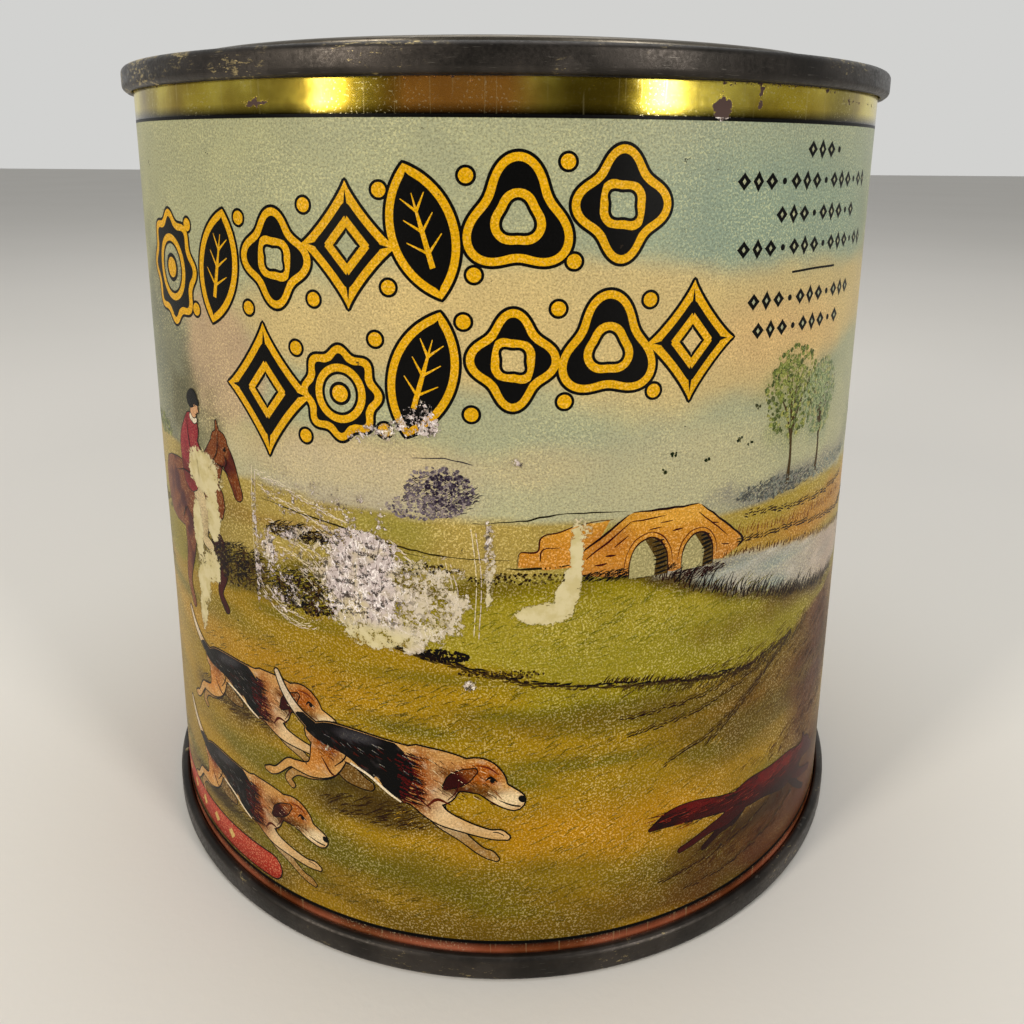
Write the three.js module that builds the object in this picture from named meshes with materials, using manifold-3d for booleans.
// A round lever-lid food tin: a rolled tinplate body, a bottom end and a lid ring
// double-seamed onto it, and a press-in lid. Millimetres, +Z up. The origin is the centre
// of the foot, and the body's soldered side seam faces +Y.
import * as THREE from "three";
import { mergeVertices } from "three/addons/utils/BufferGeometryUtils.js";
import Module from "manifold-3d";

// Driving dimensions
const TINPLATE = 0.28; // sheet thickness
const LAYER_GAP = 0.18; // air between two folded layers
const SIDES = 48; // flats round each turned piece
const BEND_STEPS = 2; // flats in each bend of the sheet

const BODY_R = 52.5; // outside of the wall
const SEAM_TOP_Z = 107.7; // top edge of the upper double seam
const SEAM_H = 3.15; // height of a double seam
const COUNTERSINK = 3.4; // from a seam's edge to the panel inside it

const MOUTH_R = 42.6; // inside of the neck
const LIP_R = 45; // outside of the raised mouth
const LIP_TOP_Z = 107.5;
const NECK_BOTTOM_Z = 98.2;

const LID_CLEARANCE = 0.3; // between the lid's plug and the neck
const LID_CURL_R = 46.1;
const LID_CURL_H = 1.25;
const LID_CURL_LIP = 1; // width of the edge turned back under the curl
const LID_TOP_Z = 109.1;
const LID_PANEL_Z = 99.56;

const PANEL_STEP_R = 38; // the ring pressed into the bottom and into the lid
const PANEL_STEP_W = 1.4;
const PANEL_STEP_H = 0.8;

const LOCK_SEAM_W = 4; // folded strip inside the wall
const LOCK_SEAM_T = 0.84; // three more layers of tinplate
const LOCK_SEAM_MARGIN = 5.2; // the fold is notched away near each double seam
const SOLDER_R = 0.6;
const SOLDER_GAP = 0.3;

// Middle surfaces of the layers of a double seam, from the inside out
const HALF = TINPLATE / 2;
const PITCH = TINPLATE + LAYER_GAP;
const WALL_R = BODY_R - HALF;
const CHUCK_R = WALL_R - PITCH;
const END_HOOK_R = WALL_R + PITCH;
const BODY_HOOK_R = WALL_R + 2 * PITCH;
const SEAM_WALL_R = WALL_R + 3 * PITCH;

// Heights in a double seam, from its edge towards the middle of the tin
const EDGE_H = HALF;
const BODY_TURN_H = EDGE_H + PITCH;
const END_TIP_H = BODY_TURN_H + HALF + LAYER_GAP;
const BODY_TIP_H = SEAM_H - PITCH;
const END_TURN_H = SEAM_H - HALF;

const wasm = await Module();
wasm.setup();

// Rounds the corners of a path. Each corner is [radius, height, bend radius].
function bendPath(corners) {
  return corners.flatMap(([r, z, bend = 0], i) => {
    const corner = new THREE.Vector2(r, z);
    if (!bend) return [corner];
    const before = new THREE.Vector2(...corners[i - 1]).sub(corner).normalize();
    const after = new THREE.Vector2(...corners[i + 1]).sub(corner).normalize();
    const half = Math.acos(before.dot(after)) / 2;
    const inwards = before.clone().add(after).normalize();
    const centre = corner.clone().addScaledVector(inwards, bend / Math.sin(half));
    const start = corner.clone().addScaledVector(before, bend / Math.tan(half));
    const turn = (Math.PI - 2 * half) * Math.sign(after.cross(before));
    return Array.from({ length: BEND_STEPS + 1 }, (_, step) =>
      start.clone().rotateAround(centre, (turn * step) / BEND_STEPS),
    );
  });
}

// One face of a sheet whose middle follows the path; positive distances are to its left.
function offsetPath(path, distance) {
  const ways = path.slice(1).map((point, i) => point.clone().sub(path[i]).normalize());
  return path.map((point, i) => {
    const before = ways[Math.max(i - 1, 0)];
    const after = ways[Math.min(i, ways.length - 1)];
    const along = before.clone().add(after).normalize();
    const reach = distance / along.dot(after);
    return new THREE.Vector2(point.x - along.y * reach, point.y + along.x * reach);
  });
}

// Turns a sheet about the Z axis: a disc where the path ends on the axis, or else a ring.
function turnSheet(corners) {
  const path = bendPath(corners);
  const profile = [...offsetPath(path, HALF).reverse(), ...offsetPath(path, -HALF)];
  const isRing = path.at(-1).x > 0;
  if (isRing) profile.push(profile[0].clone());
  return new THREE.LatheGeometry(profile, SIDES).rotateX(Math.PI / 2);
}

function toSolid(geometry) {
  const bare = geometry.clone();
  bare.deleteAttribute("normal");
  bare.deleteAttribute("uv");
  const merged = mergeVertices(bare, 1e-4);
  const vertProperties = merged.attributes.position.array;
  const triVerts = new Uint32Array(merged.index.array);
  return new wasm.Manifold(new wasm.Mesh({ numProp: 3, vertProperties, triVerts }));
}

function toGeometry(solid) {
  const { vertProperties, triVerts } = solid.getMesh();
  const geometry = new THREE.BufferGeometry();
  geometry.setAttribute("position", new THREE.BufferAttribute(vertProperties, 3));
  geometry.setIndex(new THREE.BufferAttribute(triVerts, 1));
  geometry.computeVertexNormals();
  return geometry;
}

// The part of an end that wraps the body's hook, from its tip to its countersink.
// heightToZ places it: the bottom end counts up from the foot, the ring down from the top.
function seamPath(heightToZ, bulge) {
  return [
    [END_HOOK_R, heightToZ(END_TIP_H)],
    [END_HOOK_R, heightToZ(END_TURN_H), 0.18],
    [SEAM_WALL_R, heightToZ(END_TURN_H), bulge],
    [SEAM_WALL_R, heightToZ(EDGE_H), bulge],
    [CHUCK_R, heightToZ(EDGE_H), 0.3],
  ];
}

const fromFoot = (height) => height;
const fromTop = (height) => SEAM_TOP_Z - height;

function bodyShell() {
  const wall = turnSheet([
    [BODY_HOOK_R, fromFoot(BODY_TIP_H)],
    [BODY_HOOK_R, fromFoot(BODY_TURN_H), 0.3],
    [WALL_R, fromFoot(BODY_TURN_H), 0.3],
    [WALL_R, fromTop(BODY_TURN_H), 0.3],
    [BODY_HOOK_R, fromTop(BODY_TURN_H), 0.3],
    [BODY_HOOK_R, fromTop(BODY_TIP_H)],
  ]);
  const length = SEAM_TOP_Z - 2 * LOCK_SEAM_MARGIN;
  const fold = new THREE.BoxGeometry(LOCK_SEAM_W, LOCK_SEAM_T + HALF, length);
  fold.translate(0, WALL_R - (LOCK_SEAM_T + HALF) / 2, SEAM_TOP_Z / 2);
  return toGeometry(toSolid(wall).add(toSolid(fold)));
}

function sideSeamSolder() {
  const section = new THREE.Shape();
  section.absarc(0, 0, SOLDER_R, Math.PI, 2 * Math.PI);
  section.closePath();
  const depth = SEAM_TOP_Z - 2 * LOCK_SEAM_MARGIN;
  return new THREE.ExtrudeGeometry(section, { depth, bevelEnabled: false, curveSegments: 8 });
}

function bottomEnd() {
  const panelZ = fromFoot(COUNTERSINK);
  return turnSheet([
    ...seamPath(fromFoot, 0.5),
    [CHUCK_R, panelZ, 0.8],
    [PANEL_STEP_R + PANEL_STEP_W, panelZ],
    [PANEL_STEP_R, panelZ + PANEL_STEP_H],
    [0, panelZ + PANEL_STEP_H],
  ]);
}

function topRing() {
  const channelZ = fromTop(COUNTERSINK);
  return turnSheet([
    ...seamPath(fromTop, 0.72),
    [CHUCK_R, channelZ, 0.7],
    [LIP_R - HALF, channelZ, 0.7],
    [LIP_R - HALF, LIP_TOP_Z - HALF, 0.8],
    [MOUTH_R + HALF, LIP_TOP_Z - HALF, 0.8],
    [MOUTH_R + HALF, NECK_BOTTOM_Z],
  ]);
}

function leverLid() {
  const plugR = MOUTH_R - LID_CLEARANCE - HALF;
  const curlBottomZ = LID_TOP_Z - LID_CURL_H + HALF;
  const curlTopZ = LID_TOP_Z - HALF;
  return turnSheet([
    [LID_CURL_R - HALF - LID_CURL_LIP, curlBottomZ],
    [LID_CURL_R - HALF, curlBottomZ, 0.45],
    [LID_CURL_R - HALF, curlTopZ, 0.5],
    [plugR, curlTopZ, 0.8],
    [plugR, LID_PANEL_Z, 0.8],
    [PANEL_STEP_R + PANEL_STEP_W, LID_PANEL_Z],
    [PANEL_STEP_R, LID_PANEL_Z + PANEL_STEP_H],
    [0, LID_PANEL_Z + PANEL_STEP_H],
  ]);
}

function finish(color, roughness, metalness) {
  return new THREE.MeshStandardMaterial({ color, roughness, metalness, side: THREE.DoubleSide });
}

function addPiece(parent, name, geometry, material) {
  const piece = new THREE.Mesh(geometry, material);
  piece.name = name;
  parent.add(piece);
  return piece;
}

const tin = new THREE.Group();
const canister = new THREE.Group();
tin.add(canister);

addPiece(canister, "body_shell", bodyShell(), finish(0x9a8f3a, 0.38, 0.1));
addPiece(canister, "bottom_end", bottomEnd(), finish(0x3a3835, 0.45, 0.85));
addPiece(canister, "top_ring", topRing(), finish(0x3f3d3b, 0.4, 0.85));
const solder = addPiece(canister, "side_seam_solder", sideSeamSolder(), finish(0x8f9092, 0.35, 1));
solder.position.set(
  LOCK_SEAM_W / 2 + SOLDER_GAP + SOLDER_R,
  BODY_R - 2 * TINPLATE - SOLDER_GAP,
  LOCK_SEAM_MARGIN,
);

addPiece(tin, "lever_lid", leverLid(), finish(0x6a6862, 0.35, 0.9));

export default tin;
